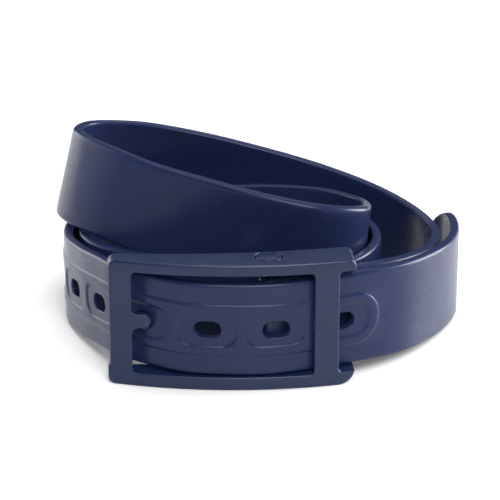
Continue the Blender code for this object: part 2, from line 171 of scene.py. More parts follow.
def fold_point(u, v):
    """World point of the fold's u, v axes, at the strap's mid height, with no lean."""
    along = Vector((math.cos(FOLD_HEADING), math.sin(FOLD_HEADING)))
    across = Vector((-along.y, along.x))
    spot = PIN + u * along + v * across
    return Vector((spot.x, spot.y, STRAP_Z, 0.0))


def strap_route():
    """Middle line of the strap from the flap's end, round the pin and coil, to the tip."""
    reach = math.hypot(FLAP_MEETS_LEG, FLAP_OFFSET)
    leave = math.atan2(FLAP_OFFSET, FLAP_MEETS_LEG) + math.acos(FOLD_RADIUS / reach)
    turns = 24
    flap = [fold_point(FLAP_LENGTH, FLAP_OFFSET), fold_point(POST_U, FLAP_OFFSET)]
    flap += [fold_point(FLAP_MEETS_LEG + 4, FLAP_OFFSET), fold_point(FLAP_MEETS_LEG, FLAP_OFFSET + 0.3)]
    route = catmull_rom(flap, 1.0)
    for i in range(turns + 1):
        angle = leave + (1.5 * math.pi - leave) * i / turns
        route.append(fold_point(FOLD_RADIUS * math.cos(angle), FOLD_RADIUS * math.sin(angle)))
    leg = [fold_point(u, -FOLD_RADIUS) for u in (2.0, 10.0, 20.0, LEG_LENGTH)]
    route += catmull_rom(leg + list(COIL), 1.0)
    return np.array([tuple(p) for p in route])


class Route:
    """Position and frame of the strap at any distance along it, smoothed past the fold."""

    def __init__(self):
        raw = strap_route()
        steps = np.linalg.norm(np.diff(raw[:, :3], axis=0), axis=1)
        lengths = np.concatenate([[0.0], np.cumsum(steps)])
        self.length = lengths[-1]
        leg_end = np.array(fold_point(LEG_LENGTH, -FOLD_RADIUS))
        leg_side = lengths > FLAP_LENGTH + 5
        distances = np.linalg.norm(raw[:, :3] - leg_end[:3], axis=1) + np.where(leg_side, 0, 1e6)
        self.step_at = lengths[distances.argmin()]
        self.s = np.arange(0.0, self.length + 0.25, 0.5)
        self.s[-1] = self.length
        spots = np.stack([np.interp(self.s, lengths, raw[:, i]) for i in range(4)], axis=1)
        self.spots = self.blend_smooth(spots, 6)
        along = np.gradient(self.spots[:, :3], self.s, axis=0)
        along = self.blend_smooth(along, 8)
        along /= np.linalg.norm(along, axis=1)[:, None]
        side = np.cross(np.array([0.0, 0.0, 1.0]), along)
        side /= np.linalg.norm(side, axis=1)[:, None]
        up = np.cross(along, side)
        lean = np.radians(self.spots[:, 3])[:, None]
        self.inward = np.cos(lean) * side - np.sin(lean) * up
        self.edge = np.cos(lean) * up + np.sin(lean) * side

    def blend_smooth(self, values, sigma):
        """Gaussian smoothing that fades in after the fold and leaves both ends where they are."""
        reach = 3 * sigma
        weights = np.exp(-0.5 * (np.arange(-reach, reach + 1) / sigma) ** 2)
        weights /= weights.sum()
        padded = np.concatenate([2 * values[0] - values[reach:0:-1], values,
                                 2 * values[-1] - values[-2:-reach - 2:-1]])
        smoothed = np.stack([np.convolve(padded[:, i], weights, "valid")
                             for i in range(values.shape[1])], axis=1)
        fade = np.clip((self.s - self.step_at + 15) / 20, 0, 1)[:, None]
        return values * (1 - fade) + smoothed * fade

    def world(self, flat):
        """World points, in metres, of an array of (along, across, depth) rows."""
        s, w, t = flat.T
        at = [np.stack([np.interp(s, self.s, part[:, i]) for i in range(3)], axis=1)
              for part in (self.spots, self.inward, self.edge)]
        return (at[0] + (t - STRAP_THICKNESS / 2)[:, None] * at[1] + w[:, None] * at[2]) * MM


ROUTE = Route()
HOLES = [ROUTE.length - FIRST_HOLE_FROM_TIP - i * HOLE_PITCH for i in range(HOLE_COUNT)]


# ---------------------------------------------------------------- mesh helpers

class Patches:
    """Grids of flat points gathered into one mesh."""

    def __init__(self):
        self.points = []
        self.faces = []
        self.count = 0

    def grid(self, rows, closed=False):
        """Quads between rows of points; closed joins the last column to the first."""
        rows = np.asarray(rows, float)
        height, width = rows.shape[:2]
        start = self.count
        self.points.append(rows.reshape(-1, 3))
        self.count += height * width
        for i in range(height - 1):
            for j in range(width if closed else width - 1):
                k = (j + 1) % width
                self.faces.append((start + i * width + j, start + i * width + k,
                                   start + (i + 1) * width + k, start + (i + 1) * width + j))

    def fan(self, ring):
        """One face over a closed ring of points."""
        ring = np.asarray(ring, float)
        self.points.append(ring)
        self.faces.append(tuple(range(self.count, self.count + len(ring))))
        self.count += len(ring)


def rounded_reach(direction, half_length, half_height, corner):
    """Distance from the middle to a rounded rectangle's edge along unit directions."""
    low = np.zeros(len(direction))
    high = np.full(len(direction), half_length + half_height)
    for _ in range(40):
        middle = (low + high) / 2
        point = np.abs(direction * middle[:, None])
        out = point - np.array([half_length - corner, half_height - corner])
        signed = np.linalg.norm(np.maximum(out, 0), axis=1) + np.minimum(out.max(axis=1), 0) - corner
        low = np.where(signed < 0, middle, low)
        high = np.where(signed < 0, high, middle)
    return (low + high) / 2


def tidy_mesh(name, points, faces, weld=1e-6):
    mesh = bpy.data.meshes.new(name)
    mesh.from_pydata([tuple(p) for p in points], [], faces)
    shape = bmesh.new()
    shape.from_mesh(mesh)
    bmesh.ops.remove_doubles(shape, verts=shape.verts, dist=weld)
    bmesh.ops.dissolve_degenerate(shape, edges=shape.edges, dist=weld)
    bmesh.ops.recalc_face_normals(shape, faces=shape.faces)
    shape.to_mesh(mesh)
    shape.free()
    return mesh


def link(name, mesh):
    made = bpy.data.objects.new(name, mesh)
    bpy.context.scene.collection.objects.link(made)
    return made


def shade(obj, angle=35.0):
    """Smooth shading, with edges sharper than angle kept sharp."""
    obj.data.shade_smooth()
    obj.data.set_sharp_from_angle(angle=math.radians(angle))


def evaluated_mesh(obj):
    bpy.context.view_layer.update()
    depsgraph = bpy.context.evaluated_depsgraph_get()
    return bpy.data.meshes.new_from_object(obj.evaluated_get(depsgraph))


def apply_modifiers(obj):
    mesh = evaluated_mesh(obj)
    obj.modifiers.clear()
    obj.data = mesh


def boolean(target, cutter, operation="DIFFERENCE"):
    """Applies one exact Boolean and removes its cutter."""
    modifier = target.modifiers.new(cutter.name, "BOOLEAN")
    modifier.operation = operation
    modifier.solver = "EXACT"
    modifier.object = cutter
    apply_modifiers(target)
    bpy.data.objects.remove(cutter)


def prism(name, outline, low, high, matrix=Matrix()):
    """Solid between two heights over an outline in the matrix's XY plane."""
    count = len(outline)
    points = [(x, y, z) for z in (low, high) for x, y in outline]
    faces = [tuple(reversed(range(count))), tuple(range(count, 2 * count))]
    for i in range(count):
        j = (i + 1) % count
        faces.append((i, j, count + j, count + i))
    mesh = tidy_mesh(name, [tuple(matrix @ Vector(p)) for p in points], faces)
    return link(name, mesh)


def turned(name, profile, sides=96):
    """Solid of revolution about local Z from a profile of (radius, height), listed top to bottom."""
    angles = np.linspace(0, 2 * math.pi, sides, endpoint=False)
    points, faces, rows = [], [], []
    for radius, height in profile:
        if radius < 1e-6:
            rows.append([len(points)] * sides)
            points.append((0.0, 0.0, height * MM))
            continue
        rows.append(list(range(len(points), len(points) + sides)))
        points += [(radius * MM * math.cos(a), radius * MM * math.sin(a), height * MM) for a in angles]
    for upper, lower in zip(rows, rows[1:]):
        for i in range(sides):
            j = (i + 1) % sides
            corners = (upper[i], lower[i], lower[j], upper[j])
            faces.append(tuple(dict.fromkeys(corners)))
    return link(name, tidy_mesh(name, points, faces))


# ---------------------------------------------------------------- strap

def quarter(centre_w, centre_t, radius, start, count):
    """Points of a quarter circle in the strap's section, from angle start, turning by 90 degrees."""
    points = []
    for i in range(count + 1):
        angle = math.radians(start + 90 * i / count)
        points.append((centre_w + radius * math.cos(angle), centre_t + radius * math.sin(angle)))
    return points


def side_profile(thickness=STRAP_THICKNESS):
    """Upper side of the section: from the outer face at FLANGE_START round to the inner face."""
    half = STRAP_WIDTH / 2
    outer = min(OUTER_ROUNDING, thickness * 0.4)
    inner = min(INNER_ROUNDING, thickness * 0.3)
    points = [(FLANGE_START, 0.0), (18.5, 0.0), (21.0, 0.0)]
    points += quarter(half - outer, outer, outer, -90, 6)
    points += quarter(half - inner, thickness - inner, inner, 0, 4)
    points += [(21.0, thickness), (18.5, thickness), (FLANGE_START, thickness)]
    return points


def middle_line():
    """Across positions between the two FLANGE_START lines, as on the tiles' sides."""
    cells = 16
    inner = [BAND_EDGE * (2 * i / cells - 1) for i in range(cells + 1)]
    return [-FLANGE_START] + inner + [FLANGE_START]


def ring(distance, thickness=STRAP_THICKNESS, scale=1.0, inset=0.0):
    """Closed section ring as (along, across, depth) rows."""
    side = side_profile(thickness)
    line = middle_line()
    section = [(w, 0.0) for w in line[1:-1]] + side
    section += [(w, thickness) for w in reversed(line[1:-1])]
    section += [(-w, t) for w, t in reversed(side)]
    rows = []
    for w, t in section:
        t = min(max(t, inset), thickness - inset)
        rows.append((distance, w * scale, t))
    return rows


def plain_stretch(patches, distances):
    """Strap without holes, as one section at each distance."""
    patches.grid([ring(s) for s in distances], closed=True)


def band_height(across):
    """Share of the band's height at a distance from the strap's middle line."""
    away, share = zip(*(((0.0, 1.0),) + BAND_BEVEL))
    return np.interp(np.abs(across) - BAND_EDGE, away, share, right=0.0)


def tile_border(end):
    """Rectangle round one hole, and the share of the band's height at each of its points."""
    line = middle_line()
    half = HOLE_PITCH / 2
    if end:
        bevel = [BAND_EDGE + away for away, _ in BAND_BEVEL]
        left = [-FLANGE_START] + [-w for w in bevel[::-1]] + line[1:-1] + bevel + [FLANGE_START]
        right, wide = line, FLANGE_START
    else:
        left = right = line[1:-1]
        wide = BAND_EDGE
    reach = END_REACH if end else half
    tops = spaced(-half, reach, TILE_STEP)
    border = [(s, wide) for s in tops[::-1]] + [(-half, w) for w in left[::-1][1:]]
    border += [(s, -wide) for s in tops[1:]] + [(reach, w) for w in right[1:-1]]
    border = np.array(border)
    on_cut = border[:, 0] == -half
    return tops, border, np.where(on_cut, band_height(border[:, 1]), 0.0 if end else 1.0)


def band_rings(border, direction, top):
    """Rings over the bevel of the band's round end; they stop where the next tile begins."""
    edge = np.linalg.norm(border, axis=1)
    past_border = 4 * HOLE_PITCH
    rings = []
    for away, share in BAND_BEVEL[::-1] + ((0.0, 1.0),):
        height, corner = BAND_EDGE + away, BAND_END_CORNER + away
        ahead = rounded_reach(direction, BAND_END + away, height, corner)
        behind = rounded_reach(direction, past_border, height, corner)
        reach = np.where(direction[:, 0] > 0, ahead, behind)
        stops = reach >= edge - 1e-6
        flat = direction * np.where(stops, edge, reach)[:, None]
        rings.append((flat, top * np.where(stops, band_height(flat[:, 1]), share)))
    return rings


def tile(patches, middle, end=0):
    """One hole with its pocket and the band round it; end rounds the band off on that side."""
    tops, border, share = tile_border(end)
    direction = border / np.linalg.norm(border, axis=1)[:, None]
    sign = end or 1

    def rounded(length, height, corner, offset):
        reach = rounded_reach(direction, length / 2 + offset, height / 2 + offset, corner + offset)
        return direction * reach[:, None]

    top = -BAND_HEIGHT
    rings = [(border, top * share)]
    if end:
        rings += band_rings(border, direction, top)
    rim = direction * rounded_reach(direction, POCKET_LENGTH / 2 + RIM_GAP, POCKET_HEIGHT / 2 + RIM_GAP,
                                    POCKET_CORNER)[:, None]
    rings.append(((rings[-1][0] + rim) / 2, top))
    for inset, fall in POCKET_WALL:
        flat = rounded(POCKET_LENGTH, POCKET_HEIGHT, POCKET_CORNER, -inset)
        rings.append((flat, top + (POCKET_FLOOR - top) * fall))
    for offset, depth in HOLE_WALL:
        rings.append((rounded(HOLE_LENGTH, HOLE_HEIGHT, HOLE_HEIGHT / 2, offset), depth))
    inner = border.copy()
    inside = np.abs(inner[:, 1]) < FLANGE_START - 0.1
    inner[inside, 1] = np.clip(inner[inside, 1], -BAND_EDGE, BAND_EDGE)
    rings.append(((inner + rings[-1][0]) / 2, STRAP_THICKNESS))
    rings.append((inner, STRAP_THICKNESS))
    rows = [np.column_stack([middle + sign * flat[:, 0], flat[:, 1], np.broadcast_to(depth, len(flat))])
            for flat, depth in rings]
    patches.grid(rows, closed=True)

    upper = side_profile()
    if not end:
        bevel = [(BAND_EDGE, top)] + [(BAND_EDGE + away, top * part) for away, part in BAND_BEVEL]
        upper = bevel + upper + [(BAND_EDGE, STRAP_THICKNESS)]
    for mirror in (1, -1):
        patches.grid([[(middle + sign * s, mirror * w, t) for w, t in upper] for s in tops])


def spaced(start, end, step):
    """Evenly spaced values from start to end, both included, at most step apart."""
    count = max(1, math.ceil(abs(end - start) / step))
    return [start + (end - start) * i / count for i in range(count + 1)]


def tip(patches, start):
    """Rounded free end: the section narrows along a circle and its rim is rounded off."""
    rows = []
    for degrees in range(0, 91, 5):
        past = TIP_RADIUS * math.sin(math.radians(degrees))
        drop = TIP_RADIUS - math.sqrt(max(0.0, TIP_RADIUS ** 2 - past ** 2))
        rows.append(ring(start + past, scale=1 - drop / (STRAP_WIDTH / 2)))
    rim = rows[-1]
    rows[-1] = [(s - 1.2, w * 1.35, t) for s, w, t in rim]
    for back, inset in ((0.7, 0.35), (0.25, 0.9), (0.0, 1.7)):
        rows.append([(s - back, w * 1.05, min(max(t, inset), STRAP_THICKNESS - inset))
                     for s, w, t in rim])
    patches.grid(rows, closed=True)
    patches.fan(rows[-1])


def root_piece(joint_at):
    """Folded tongue with its post holes, closed at both ends; make_strap opens the coil's end."""
    patches = Patches()
    fold_from = FLAP_LENGTH - FLAP_MEETS_LEG - 2
    fold_to = ROUTE.step_at - LEG_LENGTH + 2
    places = spaced(0, fold_from, FLAP_STEP)[1:] + spaced(fold_from, fold_to, FOLD_STEP)[1:]
    places += spaced(fold_to, ROUTE.step_at, FLAP_STEP)[1:]
    rows = [ring(0.0, TONGUE_THICKNESS, inset=0.5), ring(0.4, TONGUE_THICKNESS, inset=0.1)]
    rows += [ring(s, TONGUE_THICKNESS) for s in places if s > 0.6]
    rows += [ring(s) for s in spaced(ROUTE.step_at + 0.4, joint_at, TILE_STEP)]
    patches.grid(rows, closed=True)
    patches.fan(rows[0])
    patches.fan(rows[-1])
    root = link("root_piece", tidy_mesh("root_piece", ROUTE.world(np.concatenate(patches.points)),
                                        patches.faces))
    front = -FOLD_RADIUS - STRAP_THICKNESS / 2
    back = FLAP_OFFSET + STRAP_THICKNESS / 2
    holes = ((POST_HOLE_RADIUS, front - 2, back + 2),
             (POST_HEAD_SEAT_RADIUS, front - 2, front + SEAT_DEPTH),
             (SCREW_HEAD_SEAT_RADIUS, back - SEAT_DEPTH, back + 2))
    for z in post_heights().values():
        for radius, low, high in holes:
            cutter = turned("post_cutter", ((0, high), (radius, high), (radius, low), (0, low)), 48)
            cutter.data.transform(fold_matrix(POST_U, z))
            boolean(root, cutter)
    return root


def fold_matrix(u, z):
    """Local Z along the fold's v axis, at u and height z."""
    spot = fold_point(u, 0.0)
    turn = Matrix.Rotation(FOLD_HEADING, 4, "Z") @ Matrix.Rotation(math.radians(-90), 4, "X")
    return Matrix.Translation(Vector((spot.x, spot.y, z)) * MM) @ turn


def post_heights():
    """Heights of the two posts that close the fold."""
    return {"upper": STRAP_Z + POST_SPACING / 2, "lower": STRAP_Z - POST_SPACING / 2}


def make_strap():
    """Coil of plain stretches and hole tiles, its tip, and the folded root joined on."""
    joint_at = ROUTE.step_at + 6
    coil = Patches()
    plain_stretch(coil, spaced(joint_at, HOLES[-1] - END_REACH, PLAIN_STEP))
    for hole in HOLES:
        tile(coil, hole, {HOLES[0]: 1, HOLES[-1]: -1}.get(hole, 0))
    round_from = ROUTE.length - TIP_RADIUS
    plain_stretch(coil, spaced(HOLES[0] + END_REACH, round_from, PLAIN_STEP))
    tip(coil, round_from)
    strap = link("strap_rubber", tidy_mesh("strap_rubber", ROUTE.world(np.concatenate(coil.points)),
                                           coil.faces))
    root = root_piece(joint_at)
    joined = bmesh.new()
    joined.from_mesh(root.data)
    # The two end caps have the most corners; the one further along x faces the coil.
    ends = sorted(joined.faces, key=lambda face: len(face.verts))[-2:]
    joined.faces.remove(max(ends, key=lambda face: face.calc_center_median().x))
    joined.from_mesh(strap.data)
    bmesh.ops.remove_doubles(joined, verts=joined.verts, dist=2e-6)
    bmesh.ops.recalc_face_normals(joined, faces=joined.faces)
    joined.to_mesh(strap.data)
    joined.free()
    bpy.data.objects.remove(root)
    shade(strap, 40)
    return strap


# ---------------------------------------------------------------- buckle

BUCKLE_LEFT = -81.2
BUCKLE_RIGHT = 43.9
BUCKLE_HEIGHT = 68.2
FRONT_ARC = ((BUCKLE_LEFT, 1.5), (-10.0, -12.5), (BUCKLE_RIGHT, -7.6))
BACK_ARC = ((BUCKLE_LEFT, 10.5), (-17.0, 6.9), (BUCKLE_RIGHT, 12.2))
OPENING_LOW = 6.8
OPENING_HIGH = 62.0
WINDOW_LEFT = -69.6
WINDOW_RIGHT = 22.7
WINDOW_CORNER = 2.4
KEEPER_RIGHT = 35.4
BAR_THICKNESS = 3.7
MOUTH_CORNER = 2.2
CORNERS = {"low_left": 3.2, "low_right": 8.0, "high_right": 4.0, "high_left": 4.4}
MOULD_STEP = 1.0
MOULD_STEP_HEIGHT = 9.0
MOULD_STEP_RISE = 1.6
FLAT_DEPTH = 20.0
PLATE_ZONE = 6.0
SHARP_ANGLE = math.radians(40)
TOP_EDGE = 1.7
SIDE_EDGE = 1.1
FLOOR_EDGE = 0.6
INNER_EDGE = 0.8
BOW_STEP = 3.0
PRONG_Z = 35.7
PRONG_HEIGHT = 7.4
PRONG_REACH = 9.7
PRONG_UPPER_FILLET = 2.7
PRONG_LOWER_FILLET = 4.4
PEG_LEFT = -65.7
PEG_RIGHT = -60.8
PEG_END = 9.4
PEG_Z = 34.5
PEG_HEIGHT = 6.6
PEG_START = 1.4
PEG_CORNER = 2.0
PRONG_PLATE = 3.0
PRONG_BEND = 0.03
BEND_START = 1.5
BEND_HALF_HEIGHT = 7.0
PIN_HEAD_RADIUS = 6.6
PIN_HEAD_THICKNESS = 2.4
HEAD_WELL_RADIUS = 6.95
CAP_RADIUS = 5.0
CAP_THICKNESS = 2.6


def circle_through(first, middle, last):
    """y of the circle through three plan points, on their side, as a function of x."""
    (ax, ay), (bx, by), (cx, cy) = first, middle, last
    d = 2 * (ax * (by - cy) + bx * (cy - ay) + cx * (ay - by))
    a2, b2, c2 = ax * ax + ay * ay, bx * bx + by * by, cx * cx + cy * cy
    ux = (a2 * (by - cy) + b2 * (cy - ay) + c2 * (ay - by)) / d
    uy = (a2 * (cx - bx) + b2 * (ax - cx) + c2 * (bx - ax)) / d
    radius = math.hypot(ax - ux, ay - uy)
    return lambda x: uy - math.sqrt(radius ** 2 - (x - ux) ** 2)


front_line = circle_through(*FRONT_ARC)
back_line = circle_through(*BACK_ARC)


def bowed(x, depth):
    """Local y of a flat depth at x: the plate keeps its thickness and the walls stretch."""
    if depth <= PLATE_ZONE:
        return front_line(x) + depth
    room = back_line(x) - front_line(x) - PLATE_ZONE
    return front_line(x) + PLATE_ZONE + (depth - PLATE_ZONE) * room / (FLAT_DEPTH - PLATE_ZONE)


def flat_depth(x, y):
    """Inverse of bowed."""
    depth = y - front_line(x)
    if depth <= PLATE_ZONE:
        return depth
    room = back_line(x) - front_line(x) - PLATE_ZONE
    return PLATE_ZONE + (depth - PLATE_ZONE) * (FLAT_DEPTH - PLATE_ZONE) / room


def corner_points(x, z, radius, start, turns=8):
    """Quarter circle round x, z, anticlockwise from the start angle in degrees."""
    points = []
    for i in range(turns + 1):
        angle = math.radians(start + 90 * i / turns)
        points.append((x + radius * math.cos(angle), z + radius * math.sin(angle)))
    return points


def rounded_outline(left, bottom, right, top, radii):
    """Rounded rectangle, anticlockwise, with radii for high right, high left, low left, low right."""
    r = radii
    return (corner_points(right - r[0], top - r[0], r[0], 0)
            + corner_points(left + r[1], top - r[1], r[1], 90)
            + corner_points(left + r[2], bottom + r[2], r[2], 180)
            + corner_points(right - r[3], bottom + r[3], r[3], 270))


# Turns an x, y outline into x, z, so that the prism's height runs along flat depth.
FRONTAL = Matrix(((1, 0, 0, 0), (0, 0, 1, 0), (0, 1, 0, 0), (0, 0, 0, 1)))


def frontal_prism(name, outline, near, far):
    """Prism of an outline seen from the front, between two flat depths."""
    return prism(name, outline, near, far, FRONTAL)


def face_outline():
    """Outside of the buckle seen from the front, with the small mould step at the lower left."""
    c = CORNERS
    outline = corner_points(BUCKLE_RIGHT - c["high_right"], BUCKLE_HEIGHT - c["high_right"],
                            c["high_right"], 0)
    outline += corner_points(BUCKLE_LEFT + c["high_left"], BUCKLE_HEIGHT - c["high_left"],
                             c["high_left"], 90)
    left = BUCKLE_LEFT - MOULD_STEP
    outline += [(BUCKLE_LEFT, MOULD_STEP_HEIGHT + MOULD_STEP_RISE), (left, MOULD_STEP_HEIGHT)]
    outline += corner_points(left + c["low_left"], c["low_left"], c["low_left"], 180)
    outline += corner_points(BUCKLE_RIGHT - c["low_right"], c["low_right"], c["low_right"], 270)
    return outline


def prong_outline():
    """Tongue seen from the front: round end and concave fillets into the prong bar."""
    half = PRONG_HEIGHT / 2
    root = WINDOW_LEFT - 2.0
    end = WINDOW_LEFT + PRONG_REACH - half

    def root_side(fillet, sign):
        """From the bar to the tongue's straight edge, on its lower (-1) or upper (1) side."""
        side = [(root, PRONG_Z + sign * (half + fillet))]
        for i in range(11):
            angle = math.radians(9 * i)
            side.append((WINDOW_LEFT + fillet * (1 - math.cos(angle)),
                         PRONG_Z + sign * (half + fillet * (1 - math.sin(angle)))))
        return side

    head = []
    for i in range(17):
        angle = math.radians(-90 + 180 * i / 16)
        head.append((end + half * math.cos(angle), PRONG_Z + half * math.sin(angle)))
    return root_side(PRONG_LOWER_FILLET, -1) + head + root_side(PRONG_UPPER_FILLET, 1)[::-1]


def slice_along(shape, low, high, step):
    """Cuts the mesh across x so that it can be bent."""
    count = int((high - low) / step)
    for i in range(1, count):
        geometry = shape.verts[:] + shape.edges[:] + shape.faces[:]
        bmesh.ops.bisect_plane(shape, geom=geometry, dist=1e-4,
                               plane_co=(low + (high - low) * i / count, 0, 0), plane_no=(1, 0, 0))


def edge_radius(edge):
    """Rounding of a buckle edge, from where it lies on the flat block; 0 leaves it sharp."""
    near = 0.01
    spot = (edge.verts[0].co + edge.verts[1].co) / 2
    outside = max((face.normal for face in edge.link_faces), key=lambda n: n.x ** 2 + n.z ** 2)
    on_front, on_back = spot.y < near, spot.y > FLAT_DEPTH - near
    between_walls = OPENING_LOW - 0.1 < spot.z < OPENING_HIGH + 0.1
    if not (on_front or on_back) or (on_back and between_walls):
        return 0.0
    if between_walls and spot.x > WINDOW_LEFT - 0.1:
        return INNER_EDGE
    level = SIDE_EDGE if on_front else INNER_EDGE
    target = TOP_EDGE if outside.z > 0 else FLOOR_EDGE
    return level + (target - level) * outside.z ** 2


def round_edges(body):
    """Rounds the sharp edges, each by its own radius, through bevel weights."""
    shape = bmesh.new()
    shape.from_mesh(body.data)
    bmesh.ops.dissolve_limit(shape, angle_limit=math.radians(1), verts=shape.verts, edges=shape.edges)
    shape.normal_update()
    weight = shape.edges.layers.float.new("bevel_weight_edge")
    for edge in shape.edges:
        if edge.calc_face_angle(0.0) > SHARP_ANGLE:
            edge[weight] = edge_radius(edge) / TOP_EDGE
    shape.to_mesh(body.data)
    shape.free()
    bevel = body.modifiers.new("rounding", "BEVEL")
    bevel.width = TOP_EDGE
    bevel.segments = 5
    bevel.limit_method = "WEIGHT"
    bevel.use_clamp_overlap = False
    bevel.miter_outer = "MITER_ARC"
    apply_modifiers(body)


def bow(body):
    """Bends the flat block to its front and back arcs, the prong inward, and turns it to metres."""
    shape = bmesh.new()
    shape.from_mesh(body.data)
    slice_along(shape, BUCKLE_LEFT - MOULD_STEP, BUCKLE_RIGHT, BOW_STEP)
    bend_from = WINDOW_LEFT + BEND_START
    for vert in shape.verts:
        x, depth, z = vert.co
        y = bowed(x, depth)
        if bend_from < x < WINDOW_LEFT + PRONG_REACH + 1 and abs(z - PRONG_Z) < BEND_HALF_HEIGHT:
            y += PRONG_BEND * (x - bend_from) ** 2
        vert.co = Vector((x, y, z)) * MM
    shape.to_mesh(body.data)
    shape.free()


def bore_for_pin(body):
    """Pin bore right through, a chamfered well for the pin's head and one for its cap."""
    top = BUCKLE_HEIGHT
    seat = top - PIN_HEAD_THICKNESS - FIT
    cap_seat = CAP_THICKNESS + 2 * FIT
    bore, well, cap_well = PIN_RADIUS + FIT, HEAD_WELL_RADIUS, CAP_RADIUS + FIT
    cutters = (
        ((0, top + 5), (bore, top + 5), (bore, -5), (0, -5)),
        ((0, top + 5), (7.9, top + 5), (7.9, top + 0.4), (well, top - 0.45), (well, seat), (0, seat)),
        ((0, cap_seat), (cap_well, cap_seat), (cap_well, 0.4), (6.0, -0.3), (6.0, -5), (0, -5)))
    for profile in cutters:
        boolean(body, turned("bore", profile, 96))


def make_buckle():
    """Cut flat in millimetres, rounded along its edges, bowed, then bored."""
    body = frontal_prism("buckle_shell", face_outline(), 0.0, FLAT_DEPTH)
    beyond = 30.0
    cavity = [(BUCKLE_LEFT - beyond, OPENING_LOW), (BUCKLE_RIGHT + beyond, OPENING_LOW),
              (BUCKLE_RIGHT + beyond, OPENING_HIGH), (BUCKLE_LEFT - beyond, OPENING_HIGH)]
    boolean(body, frontal_prism("cavity", cavity, BAR_THICKNESS, FLAT_DEPTH + beyond))
    window = rounded_outline(WINDOW_LEFT, OPENING_LOW, WINDOW_RIGHT, OPENING_HIGH, [WINDOW_CORNER] * 4)
    boolean(body, frontal_prism("window", window, -beyond, beyond))
    mouth = rounded_outline(KEEPER_RIGHT, OPENING_LOW, BUCKLE_RIGHT + beyond, OPENING_HIGH,
                            [MOUTH_CORNER] * 4)
    boolean(body, frontal_prism("mouth", mouth, -beyond, beyond))
    boolean(body, frontal_prism("tongue", prong_outline(), 0.0, PRONG_PLATE), "UNION")
    half = PEG_HEIGHT / 2
    peg = rounded_outline(PEG_LEFT, PEG_Z - half, PEG_RIGHT, PEG_Z + half, [PEG_CORNER] * 4)
    peg_end = flat_depth(PEG_LEFT, PEG_END)
    boolean(body, frontal_prism("peg", peg, PEG_START, peg_end), "UNION")
    round_edges(body)
    bow(body)
    bore_for_pin(body)
    shade(body, 50)
    weighted = body.modifiers.new("normals", "WEIGHTED_NORMAL")
    weighted.keep_sharp = True
    weighted.weight = 80
    apply_modifiers(body)
    return body


def make_pin():
    """Pin with its flush head: a dished rim groove inside a rounded edge."""
    head = BUCKLE_HEIGHT - 0.1
    seat = head - PIN_HEAD_THICKNESS + 0.1
    pin = turned("pin_with_head", (
        (0, head), (4.9, head), (5.15, head - 0.06), (5.35, head - 0.22), (5.55, head - 0.06),
        (5.8, head), (6.1, head), (6.4, head - 0.12), (6.55, head - 0.35), (PIN_HEAD_RADIUS, head - 0.7),
        (PIN_HEAD_RADIUS, seat + 0.2), (6.4, seat), (2.5, seat), (2.15, seat - 0.15),
        (PIN_RADIUS, seat - 0.5), (PIN_RADIUS, 1.5), (1.85, 1.1), (1.5, 0.9), (0, 0.9)), 96)
    shade(pin, 50)
    return pin


def make_cap():
    low, high = 0.3, CAP_THICKNESS + 0.3
    bore = PIN_RADIUS + FIT
    cap = turned("pin_cap_cover", (
        (0, low + 0.3), (bore, low + 0.3), (bore, high - 0.2), (bore + 0.2, high), (4.7, high),
        (CAP_RADIUS, high - 0.3), (CAP_RADIUS, low + 0.6), (4.8, low + 0.2), (4.4, low), (0, low)), 64)
    shade(cap, 40)
    return cap


def make_posts():
    """Two-piece binding posts: domed barrel outside, slotted screw inside."""
    front = -FOLD_RADIUS - STRAP_THICKNESS / 2
    back = FLAP_OFFSET + STRAP_THICKNESS / 2
    head_top = front + 0.3
    barrel_end = back - 1.5 - FIT
    bore_end = head_top + 1.6
    screw_top = back - 0.2
    made = []
    for name, z in post_heights().items():
        post = turned(f"post_barrel_{name}", (
            (0, bore_end), (1.5, bore_end), (1.5, barrel_end - 0.1), (1.6, barrel_end),
            (2.0, barrel_end), (2.1, barrel_end - 0.1), (2.1, head_top + 1.0), (4.35, head_top + 1.0),
            (4.5, head_top + 0.8), (4.5, head_top + 0.4), (4.3, head_top + 0.16), (3.6, head_top + 0.05),
            (0, head_top)), 64)
        screw = turned(f"post_screw_{name}", (
            (0, screw_top), (3.2, screw_top - 0.04), (3.75, screw_top - 0.16), (4.0, screw_top - 0.4),
            (4.0, screw_top - 0.9), (3.9, screw_top - 1.0), (1.2, screw_top - 1.0),
            (1.2, bore_end + 0.5), (1.0, bore_end + FIT), (0, bore_end + FIT)), 64)
        slot = [(-0.5, -5), (0.5, -5), (0.5, 5), (-0.5, 5)]
        cutter = prism("slot", [(x * MM, y * MM) for x, y in slot],
                       (screw_top - 0.6) * MM, (screw_top + 1) * MM)
        boolean(screw, cutter)
        for piece in (post, screw):
            piece.matrix_world = fold_matrix(POST_U, z)
            shade(piece, 35)
        made.append((post, f"binding_post_{name}"))
        made.append((screw, f"binding_screw_{name}"))
    return made


# ---------------------------------------------------------------- materials

def new_material(name, colour, roughness, metallic=0.0):
    made = bpy.data.materials.new(name)
    made.use_nodes = True
    shader = made.node_tree.nodes["Principled BSDF"]
    shader.inputs["Base Color"].default_value = (*colour, 1)
    shader.inputs["Roughness"].default_value = roughness
    shader.inputs["Metallic"].default_value = metallic
    return made, made.node_tree, shader


